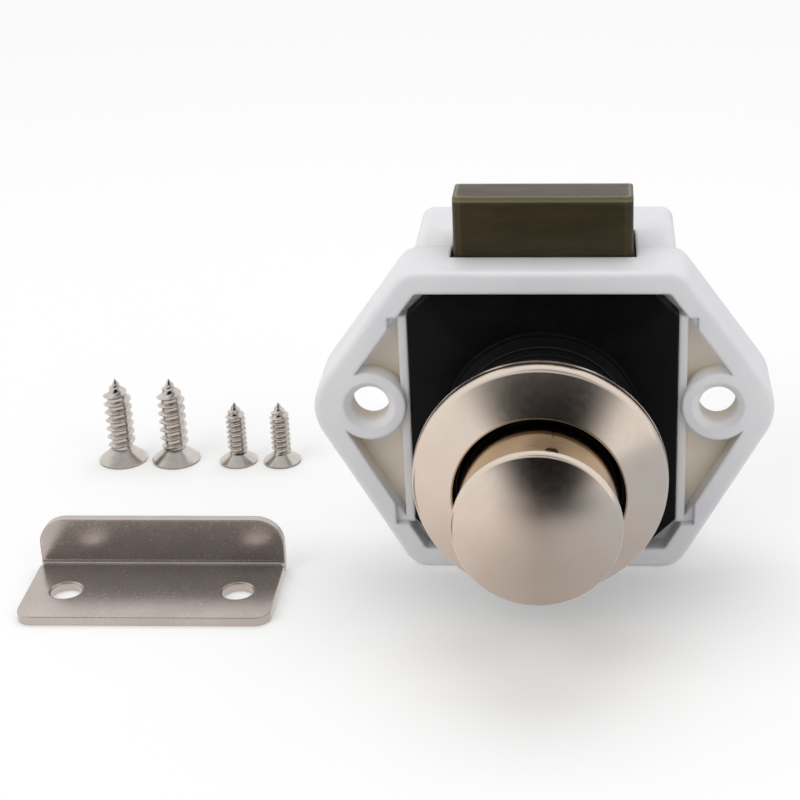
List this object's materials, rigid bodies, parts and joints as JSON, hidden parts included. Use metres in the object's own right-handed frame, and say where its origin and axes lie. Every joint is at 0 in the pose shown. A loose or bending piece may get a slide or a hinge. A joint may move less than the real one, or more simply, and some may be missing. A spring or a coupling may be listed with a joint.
{
  "type": "push button cabinet lock",
  "caption": "Push-button cabinet lock: six-sided white frame and case, rising bevelled bolt, domed metal button through a threaded tube with a dished rosette, loose strike plate and screws.",
  "frame": {"origin": "centre of the round hole in the door, on the door's inner face, where the button's axis meets it", "axes": "-Y along the button's axis out of the door, +Z the way the bolt rises, +X to the right as seen from outside"},
  "size_m": [0.0955, 0.0657, 0.0489],
  "materials": {
    "white_plastic": "satin",
    "black_plastic": "satin",
    "olive_plastic": "satin",
    "grey_plastic": "smooth",
    "satin_nickel": "satin",
    "polished_neck": "polished",
    "dark_steel": "satin",
    "spring_steel": "bright",
    "bright_steel": "bright",
    "strike_steel": "satin"
  },
  "bodies": {
    "lock": {"front_frame": "white_plastic", "rear_case": "white_plastic", "carrier": "black_plastic", "rosette_nut": "satin_nickel", "rosette_cover": "satin_nickel", "case_screws": "bright_steel", "follower_leaf": "spring_steel", "knob_spring": "spring_steel", "bolt_spring_left": "spring_steel", "bolt_spring_right": "spring_steel", "strike_plate": "strike_steel", "door_screws": "bright_steel", "strike_screws": "bright_steel"},
    "button": {"knob_cap": "satin_nickel", "knob_sleeve": "polished_neck", "sleeve_pin": "dark_steel", "plunger": "grey_plastic", "knob_screw": "bright_steel"},
    "bolt": {"bolt": "olive_plastic"},
    "follower": {"follower_wire": "spring_steel"}
  },
  "joints": [
    {"name": "button_slide", "type": "slide", "parent": "lock", "child": "button", "axis": [0, 1, 0], "range_m": [0, 0.0078], "stiffness_N_per_m": 400, "springref_m": -0.01, "deforming": ["knob_spring"]},
    {"name": "bolt_slide", "type": "slide", "parent": "lock", "child": "bolt", "axis": [0, 0, -1], "range_m": [0, 0.0078], "stiffness_N_per_m": 250, "springref_m": -0.01, "deforming": ["bolt_spring_left", "bolt_spring_right"]},
    {"name": "follower_swing", "type": "hinge", "parent": "lock", "child": "follower", "pos_m": [0, 0.0226, -0.0076], "axis": [0, 0, 1], "range_deg": [0, 16]}
  ],
  "couplings": [
    {"joint": "bolt_slide", "follows": "button_slide", "ratio": 1}
  ]
}
